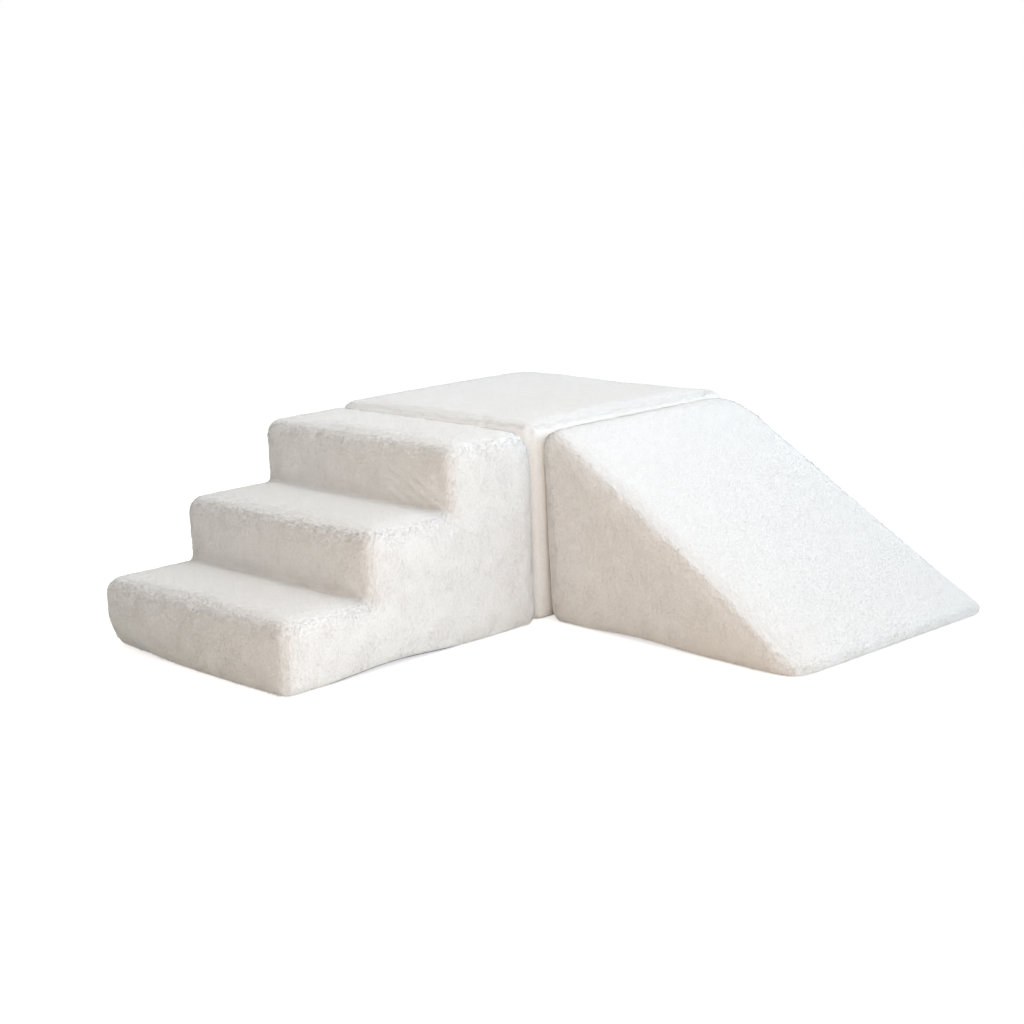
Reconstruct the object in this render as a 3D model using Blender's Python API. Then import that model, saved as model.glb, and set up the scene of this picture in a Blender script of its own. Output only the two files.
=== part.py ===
"""A foam climbing set in plush covers: stairs, a square platform and a slide, set round a corner.

Metres, +Z up. The origin is the middle of the platform's underside, at floor level. The stairs
go down towards -Y and the slide goes down towards +X. Every block is a foam core in a sewn plush
cover on a non-slip base panel, and its cover opens with a zip on the side that faces away.
"""
import math
from collections import namedtuple

import bmesh
import bpy
from mathutils import Matrix, Vector

# Outer sizes of the three covered blocks. The platform stands a little proud of the stairs and
# the slide, which are as high as each other.
BLOCK_WIDTH = 0.450
LOW_RISER = 0.106
MIDDLE_RISER = 0.100
TOP_RISER = 0.100
PLATFORM_RISE = 0.005
PLATFORM_LENGTH = 0.450
STAIRS_LENGTH = 0.500
LOW_TREAD = 0.162
MIDDLE_TREAD = 0.163
RAMP_LENGTH = 0.494
RAMP_TOP_BAND = 0.024
RAMP_BACK_LEAN = 0.008

# How the blocks stand beside each other on the floor
STAIRS_GAP = 0.003
STAIRS_SHIFT = 0.010
RAMP_GAP = 0.005
RAMP_SHIFT = 0.015

# Cover: plush with its pile, thinner where the hem is pressed flat under the block
PLUSH = 0.0047
HEM = 0.0012
HEM_LAND = 0.0005
BASE_THICKNESS = 0.0015
BASE_INSET = 0.004
CLEARANCE = 0.0003

# Rounding of the covered blocks
EDGE_RADIUS = 0.023
RAMP_EDGE_RADIUS = 0.018
TOE_EDGE_RADIUS = 0.006
HEM_RADIUS = 0.009
CREASE_RADIUS = 0.003
CORNER_EXTRA = 0.004
RAMP_BACK_BEND = 0.014
RAMP_CREST_BEND = 0.030
TOE_BEND = 0.009
FOAM_HEM_RADIUS = 0.010
LEAST_BEND = 0.001
SMOOTH_ANGLE = 40.0
SEAM_ANGLE = 45.0
CREST_SEAM = 0.002

# Zip in the side of each cover
ZIP_MARGIN = 0.030
RAMP_ZIP_TOE_MARGIN = 0.110
RAMP_ZIP_BACK_MARGIN = 0.050
ZIP_HEIGHT = 0.030
ZIP_WINDOW = 0.016
TAPE_THICKNESS = 0.0007
COIL_WIDTH = 0.0025
COIL_THICKNESS = 0.0018
COIL_BEND = 0.0005
STOP_LENGTH = 0.004
STOP_BEND = 0.0004
STOP_MARGIN = 0.0015
SLIDER_LENGTH = 0.011
SLIDER_WALL = 0.0009
ARCH_LENGTH = 0.0066
ARCH_WIDTH = 0.0018
ARCH_BAR = 0.0009
ARCH_BEND = 0.0006
PULL_LENGTH = 0.024
PULL_WIDTH = 0.0056
PULL_THICKNESS = 0.0009
PULL_EYE_LENGTH = 0.0046
PULL_EYE_WIDTH = 0.0030
PULL_BAR = 0.0010
PULL_BEND = 0.0003
PULL_TIP_BEND = 0.0026
PULL_HOLE_WIDTH = 0.0028
PULL_HOLE_LENGTH = 0.0056
PULL_HOLE_BEND = 0.0013

# Steps in the rounded corners
CORNER_STEPS = 7
HEM_STEPS = 4
CREASE_STEPS = 2
CREST_STEPS = 3
TOE_STEPS = 6
ROUND_END_STEPS = 5
EYE_STEPS = 2
HOLE_STEPS = 4
SIDE_ANGLES = (0.0, 15.0, 30.0)
FACE_ANGLES = (60.0, 75.0, 90.0)

# A corner of a block's profile. y, z: its place. bend: its rounding, less the depth of the layer.
# fixed: instead of that, one rounding for each layer.
# arriving, leaving: rounding towards the block's side of the face before and after the corner,
# None for the underside.
Corner = namedtuple("Corner", "y z bend fixed steps arriving leaving")
# A layer of a block. wall: its depth under the cover's outside. base_wall: the same underneath.
# base_reach, base_rise: width and height of the rounding at the foot of the block's side.
Layer = namedtuple("Layer", "rank wall base_wall base_reach base_rise")
Block = namedtuple("Block", "name corners length edge_radius empty zip_side zip_length zip_shift")

STAIRS_HEIGHT = LOW_RISER + MIDDLE_RISER + TOP_RISER
PLATFORM_HEIGHT = STAIRS_HEIGHT + PLATFORM_RISE
RAMP_HEIGHT = STAIRS_HEIGHT
FOAM_WALL = PLUSH + CLEARANCE
COVER_BOTTOM = BASE_THICKNESS + CLEARANCE
HALF_WIDTH = BLOCK_WIDTH / 2
OUTSIDE = Layer(0, 0.0, 0.0, HEM_RADIUS, HEM_RADIUS)
INSIDE = Layer(1, PLUSH, HEM, HEM_RADIUS, HEM_RADIUS - HEM)
FOAM = Layer(2, FOAM_WALL, 0.0, FOAM_WALL + FOAM_HEM_RADIUS, FOAM_HEM_RADIUS)
FOOT_BENDS = (HEM_RADIUS, HEM_RADIUS - PLUSH, FOAM_HEM_RADIUS)
TOE_BENDS = (TOE_BEND, TOE_BEND - PLUSH + HEM, TOE_BEND)
CREASE_BENDS = (CREASE_RADIUS, CREASE_RADIUS, CREASE_RADIUS)

# Depths in the zip, outward from the face of the plush
TAPE_BACK = -PLUSH
TAPE_FRONT = TAPE_BACK + TAPE_THICKNESS
COIL_BACK = TAPE_FRONT + CLEARANCE
COIL_FRONT = COIL_BACK + COIL_THICKNESS
PULL_DEPTH = CLEARANCE + PULL_THICKNESS / 2
SLIDER_FRONT = 0.0
ARCH_FRONT = PULL_DEPTH + PULL_THICKNESS / 2 + CLEARANCE + ARCH_BAR
CHAIN_HALF_GAP = CLEARANCE / 2


def material(name, colour, roughness, metallic=0.0):
    """A Principled material in one colour."""
    made = bpy.data.materials.new(name)
    made.use_nodes = True
    shader = made.node_tree.nodes["Principled BSDF"]
    shader.inputs["Base Color"].default_value = (*colour, 1.0)
    shader.inputs["Roughness"].default_value = roughness
    shader.inputs["Metallic"].default_value = metallic
    made.diffuse_color = (*colour, 1.0)
    return made


def add_empty(name, parent, place, turn=0.0):
    """A frame for a group of pieces, turned about the vertical."""
    empty = bpy.data.objects.new(name, None)
    PARTS.objects.link(empty)
    empty.parent = parent
    empty.location = place
    empty.rotation_euler = (0.0, 0.0, math.radians(turn))
    return empty


def add_piece(name, mesh, finish, parent, place=(0.0, 0.0, 0.0)):
    """One named piece, placed in the frame of its parent."""
    piece = bpy.data.objects.new(name, mesh)
    mesh.materials.append(finish)
    PARTS.objects.link(piece)
    piece.parent = parent
    piece.location = place
    return piece


def finish_mesh(builder, name, smooth_angle=None):
    """Turns a bmesh into a mesh whose faces point out."""
    bmesh.ops.recalc_face_normals(builder, faces=builder.faces)
    mesh = bpy.data.meshes.new(name)
    builder.to_mesh(mesh)
    builder.free()
    if smooth_angle is not None:
        mesh.shade_smooth()
        mesh.set_sharp_from_angle(angle=math.radians(smooth_angle))
    return mesh


def box_mesh(name, low, high, bevel=0.0, vertical_only=False, steps=2):
    """A box between two corners, with its edges or only its upright edges rounded."""
    size = Vector(high) - Vector(low)
    middle = (Vector(high) + Vector(low)) / 2
    builder = bmesh.new()
    bmesh.ops.create_cube(builder, size=1.0)
    bmesh.ops.scale(builder, vec=size, verts=builder.verts)
    bmesh.ops.translate(builder, vec=middle, verts=builder.verts)
    if bevel > 0.0:
        edges = list(builder.edges)
        if vertical_only:
            edges = [edge for edge in edges if abs(edge.verts[0].co.z - edge.verts[1].co.z) > size.z / 2]
        bmesh.ops.bevel(builder, geom=edges, offset=bevel, segments=steps, profile=0.5, affect="EDGES")
    return finish_mesh(builder, name)


def outline_mesh(name, loops, thickness, matrix):
    """A flat outline, with holes, filled and given a thickness, then placed by a matrix."""
    curve = bpy.data.curves.new(name, "CURVE")
    curve.dimensions = "2D"
    curve.fill_mode = "BOTH"
    curve.extrude = thickness / 2
    for loop in loops:
        spline = curve.splines.new("POLY")
        spline.points.add(len(loop) - 1)
        for point, (across, up) in zip(spline.points, loop):
            point.co = (across, up, 0.0, 1.0)
        spline.use_cyclic_u = True
    guide = bpy.data.objects.new(name, curve)
    bpy.context.scene.collection.objects.link(guide)
    bpy.context.view_layer.update()
    evaluated = guide.evaluated_get(bpy.context.evaluated_depsgraph_get())
    mesh = bpy.data.meshes.new_from_object(evaluated)
    bpy.data.objects.remove(guide)
    bpy.data.curves.remove(curve)
    builder = bmesh.new()
    builder.from_mesh(mesh)
    bpy.data.meshes.remove(mesh)
    bmesh.ops.remove_doubles(builder, verts=builder.verts, dist=1e-6)
    bmesh.ops.transform(builder, matrix=matrix, verts=builder.verts)
    return finish_mesh(builder, name)


def apply_boolean(piece, other, operation):
    """Joins or cuts a piece with another object by a modifier that stays on it."""
    modifier = piece.modifiers.new(operation.lower(), "BOOLEAN")
    modifier.operation = operation
    modifier.solver = "EXACT"
    modifier.object = other


def add_cutter(name, mesh, parent, place=(0.0, 0.0, 0.0)):
    """A guide that cuts or joins a piece, and isn't a piece itself."""
    cutter = bpy.data.objects.new(name, mesh)
    CUTTERS.objects.link(cutter)
    cutter.parent = parent
    cutter.location = place
    cutter.display_type = "WIRE"
    cutter.hide_render = True
    return cutter


# Profiles of the covered blocks

def square_corner(y, z):
    """A rounded top corner of the stairs or the platform."""
    return Corner(y, z, EDGE_RADIUS + CORNER_EXTRA, None, CORNER_STEPS, EDGE_RADIUS, EDGE_RADIUS)


def crease(y, z):
    """The hollow corner between a tread and the riser above it."""
    return Corner(y, z, 0.0, CREASE_BENDS, CREASE_STEPS, EDGE_RADIUS, EDGE_RADIUS)


def front_foot(y):
    """The corner between the front face and the underside."""
    return Corner(y, 0.0, 0.0, FOOT_BENDS, HEM_STEPS, EDGE_RADIUS, None)


def back_foot(y, radius):
    """The corner between the underside and the back face."""
    return Corner(y, 0.0, 0.0, FOOT_BENDS, HEM_STEPS, None, radius)


def platform_profile():
    """The square block."""
    back = PLATFORM_LENGTH / 2
    top = PLATFORM_HEIGHT - COVER_BOTTOM
    return [
        front_foot(-back),
        back_foot(back, EDGE_RADIUS),
        square_corner(back, top),
        square_corner(-back, top),
    ]


def stairs_profile():
    """Three steps that go up towards +Y."""
    front = -STAIRS_LENGTH / 2
    back = STAIRS_LENGTH / 2
    low = LOW_RISER - COVER_BOTTOM
    middle = low + MIDDLE_RISER
    top = STAIRS_HEIGHT - COVER_BOTTOM
    second = front + LOW_TREAD
    third = second + MIDDLE_TREAD
    return [
        front_foot(front),
        back_foot(back, EDGE_RADIUS),
        square_corner(back, top),
        square_corner(third, top),
        crease(third, middle),
        square_corner(second, middle),
        crease(second, low),
        square_corner(front, low),
    ]


def ramp_profile():
    """A wedge that goes up towards +Y, with a rounded toe, a narrow top band and a leaning back."""
    front = -RAMP_LENGTH / 2
    back = RAMP_LENGTH / 2
    top = RAMP_HEIGHT - COVER_BOTTOM
    crest = back - RAMP_TOP_BAND
    run = crest - (front + TOE_BEND)
    rise = top - TOE_BEND
    slope = math.atan2(rise, run) - math.asin(TOE_BEND / math.hypot(run, rise))
    tip = crest - top / math.tan(slope)
    radius = RAMP_EDGE_RADIUS
    return [
        Corner(tip, 0.0, 0.0, TOE_BENDS, TOE_STEPS, TOE_EDGE_RADIUS, None),
        back_foot(back - RAMP_BACK_LEAN, radius),
        Corner(back, top, RAMP_BACK_BEND, None, CORNER_STEPS, radius, radius),
        Corner(crest, top, RAMP_CREST_BEND, None, CREST_STEPS, radius, radius),
    ]


def side_inset(radius, layer, distance):
    """How far a face lies inside the profile, at a distance in from the block's side."""
    if radius is None:
        reach = layer.base_reach
        wall = layer.base_wall
        rise = layer.base_rise
    else:
        reach = radius
        wall = layer.wall
        rise = radius - layer.wall
    share = min(max((reach - distance) / (reach - layer.wall), 0.0), 1.0)
    return wall + rise * (1.0 - math.sqrt(1.0 - share * share))


def arc_points(corner, before, after, radius, steps):
    """The points of an arc that rounds a corner between two directions."""
    turn = math.atan2(before.x * after.y - before.y * after.x, before.dot(after))
    start = corner - before * (radius * math.tan(abs(turn) / 2))
    centre = start + Vector((-before.y, before.x)) * math.copysign(radius, turn)
    arm = start - centre
    points = []
    for step in range(steps + 1):
        cosine = math.cos(turn * step / steps)
        sine = math.sin(turn * step / steps)
        points.append(centre + Vector((arm.x * cosine - arm.y * sine, arm.x * sine + arm.y * cosine)))
    return points


def section(block, layer, distance):
    """A layer's profile at a distance in from the block's side: an arc of (y, z) points a corner."""
    corners = block.corners
    lines = []
    for corner, following in zip(corners, corners[1:] + corners[:1]):
        start = Vector((corner.y, corner.z))
        end = Vector((following.y, following.z))
        along = (end - start).normalized()
        outward = Vector((along.y, -along.x))
        start_inset = side_inset(corner.leaving, layer, distance)
        end_inset = side_inset(following.arriving, layer, distance)
        start -= outward * start_inset
        end -= outward * end_inset
        lines.append((start, (end - start).normalized(), start_inset, end_inset))
    arcs = []
    for index, corner in enumerate(corners):
        before_start, before, _, before_inset = lines[index - 1]
        after_start, after, after_inset, _ = lines[index]
        across = after_start - before_start
        reach = (across.x * after.y - across.y * after.x) / (before.x * after.y - before.y * after.x)
        if corner.fixed:
            bend = corner.fixed[layer.rank]
        else:
            bend = max(corner.bend - min(before_inset, after_inset), LEAST_BEND)
        arcs.append(arc_points(before_start + before * reach, before, after, bend, corner.steps))
    return arcs


def side_distance(block, layer, angle):
    """How far in from the block's side a layer is, at an angle round the rounded edge."""
    return block.edge_radius - (block.edge_radius - layer.wall) * math.cos(math.radians(angle))


def seam_half_angle(block):
    """Half the angle that the clearance in a corner seam takes."""
    return math.degrees(CLEARANCE / (2 * math.sin(math.radians(SEAM_ANGLE)) * (block.edge_radius - PLUSH)))


def placed(points, x):
    """Section points in the block's frame."""
    return [Vector((x, point.x, point.y + COVER_BOTTOM)) for point in points]


def whole_loop(block, layer, angle, side):
    """The closed section of a layer at an angle round the edge on one side of the block."""
    distance = side_distance(block, layer, angle)
    points = [point for arc in section(block, layer, distance) for point in arc]
    return placed(points, side * (HALF_WIDTH - distance))


def loft_loops(loops, name, smooth_angle=SMOOTH_ANGLE):
    """Closed loops joined one to the next, with a flat face on each end."""
    builder = bmesh.new()
    rings = [[builder.verts.new(point) for point in loop] for loop in loops]
    builder.faces.new(rings[0])
    builder.faces.new(rings[-1])
    for ring, following in zip(rings, rings[1:]):
        for index in range(len(ring)):
            builder.faces.new((ring[index - 1], ring[index], following[index], following[index - 1]))
    return finish_mesh(builder, name, smooth_angle)


def foam_core(block):
    """The foam, rounded as the cover presses it."""
    angles = SIDE_ANGLES + (SEAM_ANGLE,) + FACE_ANGLES
    loops = [whole_loop(block, FOAM, angle, -1) for angle in angles]
    loops += [whole_loop(block, FOAM, angle, 1) for angle in reversed(angles)]
    return add_piece(f"{block.name}_core", loft_loops(loops, "core"), FOAM_FINISH, block.empty)


def side_panel(block, side, name):
    """A side of the cover, up to the seam half way round its edge."""
    angles = SIDE_ANGLES + (SEAM_ANGLE - seam_half_angle(block),)
    loops = [whole_loop(block, OUTSIDE, angle, side) for angle in angles]
    loops += [whole_loop(block, INSIDE, angle, side) for angle in reversed(angles)]
    return add_piece(f"{block.name}_{name}", loft_loops(loops, name), PLUSH_FINISH, block.empty)


def hem_ends(block, angle):
    """How far the back and the front hem reach under the block, at an angle round its edge."""
    arcs = section(block, OUTSIDE, side_distance(block, OUTSIDE, angle))
    return arcs[1][0].x - HEM_LAND, arcs[0][-1].x + HEM_LAND


def strip_path(block, layer, angle, first, last):
    """Points over the block from the hem at the back, or a seam in the slope, to a seam or a hem."""
    arcs = section(block, layer, side_distance(block, layer, angle))
    route = arcs[1:] + arcs[:1]
    back_hem, front_hem = hem_ends(block, angle)
    path = []
    if first == "hem":
        path.append(Vector((back_hem, route[0][0].y)))
    else:
        path.append(seam_point(arcs, first))
        route = route[-1:]
    if last != "hem":
        route = route[:-1]
    for arc in route:
        path.extend(arc)
    if last == "hem":
        path.append(Vector((front_hem, path[-1].y)))
    else:
        path.append(seam_point(arcs, last))
    return path


def seam_point(arcs, distance):
    """A point on the slope, at a distance below the rounding of the crest."""
    start = arcs[-1][-1]
    along = (arcs[0][0] - start).normalized()
    return start + along * distance


def strip_panel(block, name, first="hem", last="hem"):
    """A strip of the cover that runs over the block between the two side panels."""
    angles = (SEAM_ANGLE + seam_half_angle(block),) + FACE_ANGLES
    stations = [(angle, -1) for angle in angles] + [(angle, 1) for angle in reversed(angles)]
    builder = bmesh.new()
    rows = []
    for angle, side in stations:
        row = []
        for layer in (OUTSIDE, INSIDE):
            distance = side_distance(block, layer, angle)
            path = placed(strip_path(block, layer, angle, first, last), side * (HALF_WIDTH - distance))
            row.append([builder.verts.new(point) for point in path])
        rows.append(row)
    steps = range(len(rows[0][0]) - 1)
    for row, following in zip(rows, rows[1:]):
        for outer, beyond in zip(row, following):
            for step in steps:
                builder.faces.new((outer[step], outer[step + 1], beyond[step + 1], beyond[step]))
        for end in (0, -1):
            builder.faces.new((row[0][end], row[1][end], following[1][end], following[0][end]))
    for outer, inner in (rows[0], rows[-1]):
        for step in steps:
            builder.faces.new((outer[step], outer[step + 1], inner[step + 1], inner[step]))
    mesh = finish_mesh(builder, name, SMOOTH_ANGLE)
    return add_piece(f"{block.name}_{name}", mesh, PLUSH_FINISH, block.empty)


def base_panel(block):
    """The non-slip panel under the block."""
    half_width = HALF_WIDTH - BASE_INSET
    half_length = block.length / 2 - BASE_INSET
    low = (-half_width, -half_length, 0.0)
    high = (half_width, half_length, BASE_THICKNESS)
    corner = block.edge_radius - BASE_INSET
    mesh = box_mesh("base_panel", low, high, corner, vertical_only=True, steps=CORNER_STEPS)
    return add_piece(f"{block.name}_base_panel", mesh, BASE_FINISH, block.empty)


# The zip. In its frame X points out of the cover, Y runs along the zip and Z is up.

def zip_window(block, frame, panel):
    """The opening for the zip in the side panel."""
    half = block.zip_length / 2
    reach = 2 * PLUSH
    low = (-reach, -half, -ZIP_WINDOW / 2)
    high = (reach, half, ZIP_WINDOW / 2)
    cutter = add_cutter(f"{block.name}_zip_window", box_mesh("zip_window", low, high), frame)
    apply_boolean(panel, cutter, "DIFFERENCE")


def zip_tapes_and_coils(block, frame):
    """The two tapes and the two rows of the coil, closed on each other."""
    half = block.zip_length / 2 - CLEARANCE
    coil_half = chain_half(block)
    edge = ZIP_WINDOW / 2 - CLEARANCE
    for name, sign in (("upper", 1), ("lower", -1)):
        near, far = sorted((sign * CHAIN_HALF_GAP, sign * edge))
        mesh = box_mesh("zip_tape", (TAPE_BACK, -half, near), (TAPE_FRONT, half, far))
        add_piece(f"{block.name}_zip_tape_{name}", mesh, TAPE_FINISH, frame)
        near, far = sorted((sign * CHAIN_HALF_GAP, sign * (CHAIN_HALF_GAP + COIL_WIDTH)))
        low = (COIL_BACK, -coil_half, near)
        high = (COIL_FRONT, coil_half, far)
        mesh = box_mesh("zip_coil", low, high, COIL_BEND)
        add_piece(f"{block.name}_zip_coil_{name}", mesh, COIL_FINISH, frame)


def chain_half(block):
    """Half the length of the coil between its two stops."""
    return block.zip_length / 2 - STOP_MARGIN - STOP_LENGTH - CLEARANCE


def zip_stops(block, frame):
    """A stop over both rows at each end of the coil."""
    start = chain_half(block) + CLEARANCE
    half_height = CHAIN_HALF_GAP + COIL_WIDTH
    for name, sign in (("closed", 1), ("open", -1)):
        near, far = sorted((sign * start, sign * (start + STOP_LENGTH)))
        low = (COIL_BACK, near, -half_height)
        high = (COIL_FRONT, far, half_height)
        mesh = box_mesh("zip_stop", low, high, STOP_BEND)
        add_piece(f"{block.name}_zip_stop_{name}", mesh, METAL_FINISH, frame)


def rounded_rectangle(half_width, bottom, top, bottom_radius, top_radius, steps):
    """The outline of a rectangle about the middle line, with round corners."""
    corners = (
        (half_width, top, top_radius, 0),
        (-half_width, top, top_radius, 90),
        (-half_width, bottom, bottom_radius, 180),
        (half_width, bottom, bottom_radius, 270),
    )
    points = []
    for across, up, radius, start in corners:
        centre_across = across - math.copysign(radius, across)
        centre_up = up - radius if up == top else up + radius
        for step in range(steps + 1):
            angle = math.radians(start + 90 * step / steps)
            points.append((centre_across + radius * math.cos(angle), centre_up + radius * math.sin(angle)))
    return points


def zip_slider(block, frame):
    """The slider: a channel over both rows of the coil, and an arch that holds the pull."""
    inner = CHAIN_HALF_GAP + COIL_WIDTH + CLEARANCE
    outer = inner + SLIDER_WALL
    ceiling = COIL_FRONT + CLEARANCE
    channel = [
        (-outer, COIL_BACK),
        (-inner, COIL_BACK),
        (-inner, ceiling),
        (inner, ceiling),
        (inner, COIL_BACK),
        (outer, COIL_BACK),
        (outer, SLIDER_FRONT),
        (-outer, SLIDER_FRONT),
    ]
    # the channel's outline lies across the zip, and the arch's lies along it
    across = Matrix(((0, 1, 0, 0), (0, 0, 1, 0), (1, 0, 0, 0), (0, 0, 0, 1)))
    along = Matrix(((0, 1, 0, 0), (1, 0, 0, 0), (0, 0, -1, 0), (0, 0, 0, 1)))
    mesh = outline_mesh("zip_slider", [channel], SLIDER_LENGTH, across)
    park = chain_half(block) - SLIDER_LENGTH / 2
    slider = add_piece(f"{block.name}_zip_slider", mesh, METAL_FINISH, frame, (0.0, park, 0.0))
    half = ARCH_LENGTH / 2
    hole = half - ARCH_BAR
    root = (SLIDER_FRONT + ceiling) / 2
    shoulder = ARCH_FRONT - ARCH_BEND
    staple = [
        (-hole, root),
        (-half, root),
        (-half, shoulder),
        (-hole, ARCH_FRONT),
        (hole, ARCH_FRONT),
        (half, shoulder),
        (half, root),
        (hole, root),
        (hole, ARCH_FRONT - ARCH_BAR),
        (-hole, ARCH_FRONT - ARCH_BAR),
    ]
    arch = add_cutter(f"{block.name}_slider_arch", outline_mesh("arch", [staple], ARCH_WIDTH, along), slider)
    apply_boolean(slider, arch, "UNION")
    return slider


def zip_pull(block, slider):
    """The pull tab: a plate whose end bar lies in the slider's arch, on the pull's pivot."""
    half = PULL_WIDTH / 2
    top = PULL_BAR / 2
    bottom = top - PULL_LENGTH
    eye_top = top - PULL_BAR
    hole_bottom = bottom + PULL_HOLE_WIDTH / 2
    hole_top = hole_bottom + PULL_HOLE_LENGTH
    eye_bottom = eye_top - PULL_EYE_LENGTH
    half_hole = PULL_HOLE_WIDTH / 2
    loops = [
        rounded_rectangle(half, bottom, top, PULL_TIP_BEND, PULL_BEND, ROUND_END_STEPS),
        rounded_rectangle(PULL_EYE_WIDTH / 2, eye_bottom, eye_top, PULL_BEND, PULL_BEND, EYE_STEPS),
        rounded_rectangle(half_hole, hole_bottom, hole_top, PULL_HOLE_BEND, PULL_HOLE_BEND, HOLE_STEPS),
    ]
    flat = Matrix(((0, 0, 1, 0), (0, 1, 0, 0), (-1, 0, 0, 0), (0, 0, 0, 1)))
    mesh = outline_mesh("zip_pull", loops, PULL_THICKNESS, flat)
    return add_piece(f"{block.name}_zip_pull", mesh, METAL_FINISH, slider, (PULL_DEPTH, 0.0, 0.0))


def add_zip(block, panel):
    """The whole zip in one side of a block."""
    place = (block.zip_side * HALF_WIDTH, block.zip_shift, ZIP_HEIGHT)
    turn = 0.0 if block.zip_side > 0 else 180.0
    frame = add_empty(f"{block.name}_zip_frame", block.empty, place, turn)
    zip_window(block, frame, panel)
    zip_tapes_and_coils(block, frame)
    zip_stops(block, frame)
    slider = zip_slider(block, frame)
    zip_pull(block, slider)


# The three blocks

def build_platform():
    """The square platform. Its strip runs along X and its zip is at the back."""
    empty = add_empty("platform_frame", None, (0.0, 0.0, 0.0), 90.0)
    zip_length = PLATFORM_LENGTH - 2 * ZIP_MARGIN
    block = Block("platform", platform_profile(), PLATFORM_LENGTH, EDGE_RADIUS, empty, 1, zip_length, 0.0)
    foam_core(block)
    strip_panel(block, "top_panel")
    side_panel(block, -1, "front_panel")
    base_panel(block)
    add_zip(block, side_panel(block, 1, "rear_panel"))


def build_stairs():
    """The stairs, in front of the platform. The zip is on their left."""
    distance = HALF_WIDTH + STAIRS_GAP + STAIRS_LENGTH / 2
    empty = add_empty("stairs_frame", None, (STAIRS_SHIFT, -distance, 0.0))
    zip_length = STAIRS_LENGTH - 2 * ZIP_MARGIN
    block = Block("stairs", stairs_profile(), STAIRS_LENGTH, EDGE_RADIUS, empty, -1, zip_length, 0.0)
    foam_core(block)
    strip_panel(block, "step_panel")
    side_panel(block, 1, "right_panel")
    base_panel(block)
    add_zip(block, side_panel(block, -1, "left_panel"))


def build_ramp():
    """The slide, to the right of the platform. The zip is on its far side."""
    distance = PLATFORM_LENGTH / 2 + RAMP_GAP + RAMP_LENGTH / 2
    empty = add_empty("ramp_frame", None, (distance, RAMP_SHIFT, 0.0), 90.0)
    zip_length = RAMP_LENGTH - RAMP_ZIP_TOE_MARGIN - RAMP_ZIP_BACK_MARGIN
    zip_shift = (RAMP_ZIP_TOE_MARGIN - RAMP_ZIP_BACK_MARGIN) / 2
    block = Block("ramp", ramp_profile(), RAMP_LENGTH, RAMP_EDGE_RADIUS, empty, 1, zip_length, zip_shift)
    foam_core(block)
    strip_panel(block, "back_panel", last=CREST_SEAM - CLEARANCE / 2)
    strip_panel(block, "slope_panel", first=CREST_SEAM + CLEARANCE / 2)
    side_panel(block, -1, "near_panel")
    base_panel(block)
    add_zip(block, side_panel(block, 1, "far_panel"))


for leftover in list(bpy.data.objects):
    bpy.data.objects.remove(leftover, do_unlink=True)
PARTS = bpy.data.collections.new("foam_climbing_set")
bpy.context.scene.collection.children.link(PARTS)
CUTTERS = bpy.data.collections.new("cutters")
bpy.context.scene.collection.children.link(CUTTERS)
FOAM_FINISH = material("foam", (0.86, 0.84, 0.78), 0.95)
PLUSH_FINISH = material("plush", (0.88, 0.86, 0.82), 0.95)
BASE_FINISH = material("non_slip_base", (0.16, 0.17, 0.22), 0.85)
TAPE_FINISH = material("zip_tape", (0.84, 0.82, 0.77), 0.9)
COIL_FINISH = material("zip_coil", (0.88, 0.87, 0.83), 0.45)
METAL_FINISH = material("zip_metal", (0.62, 0.62, 0.63), 0.35, 1.0)
build_platform()
build_stairs()
build_ramp()
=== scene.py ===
import math

import bmesh
import bpy
import numpy as np
from mathutils import Matrix, Vector


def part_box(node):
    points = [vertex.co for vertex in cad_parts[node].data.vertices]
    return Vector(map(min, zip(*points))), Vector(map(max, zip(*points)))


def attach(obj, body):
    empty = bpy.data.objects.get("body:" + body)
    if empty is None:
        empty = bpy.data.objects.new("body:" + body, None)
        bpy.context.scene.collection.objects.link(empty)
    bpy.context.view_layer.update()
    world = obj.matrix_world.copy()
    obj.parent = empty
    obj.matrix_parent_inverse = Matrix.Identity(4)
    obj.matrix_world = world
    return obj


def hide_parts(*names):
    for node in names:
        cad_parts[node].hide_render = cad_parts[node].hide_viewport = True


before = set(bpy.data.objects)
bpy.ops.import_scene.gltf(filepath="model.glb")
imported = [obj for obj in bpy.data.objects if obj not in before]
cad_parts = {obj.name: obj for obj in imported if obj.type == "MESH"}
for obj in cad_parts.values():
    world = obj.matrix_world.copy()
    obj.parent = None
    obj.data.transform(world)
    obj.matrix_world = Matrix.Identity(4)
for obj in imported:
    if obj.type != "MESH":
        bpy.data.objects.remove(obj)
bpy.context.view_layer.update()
scene = bpy.context.scene

# The foam climbing set, dressed: three foam blocks in sewn plush covers. Each cover starts as
# its block's closed form, is swollen as cloth, gets its seams, hem and puckers, and is then cut
# along its seams into the sewn panels, on which the pile's tufts stand. Metres throughout.

# How the covers are worked
FORM_VOXEL = 0.005
HALF_WIDTH = 0.225
STAIRS_END = 0.250
RAMP_END = 0.247
SWELL_PRESSURE = 0.6
SWELL_FRAMES = 20
SWELL_CAP = 0.0042
SUNK_CAP = 0.0012
ALONG_CAP = 0.0015
NEIGHBOUR_CAP = 0.0006
SLIDE_FILL = 0.0020
STAIRS_FILL = 0.0007
ZIP_SIDE_CAP = 0.0001
PINNED_HEIGHT = 0.012
HEM_WIDTH = 0.015
HEM_FLOOR = 0.0004
HEM_DROOP = 0.0016
BASE_TOP = 0.0015
BASE_INSET = 0.011
BASE_SHOWN_INSET = 0.0075
SEAM_DEPTH = 0.0002
SEAM_REACH = 0.0030
SEAM_SNAP = 0.0003
SEAM_GAP = 0.0003
LIP_DEPTH = 0.0045
CORNER_SHARE = 0.72

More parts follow.
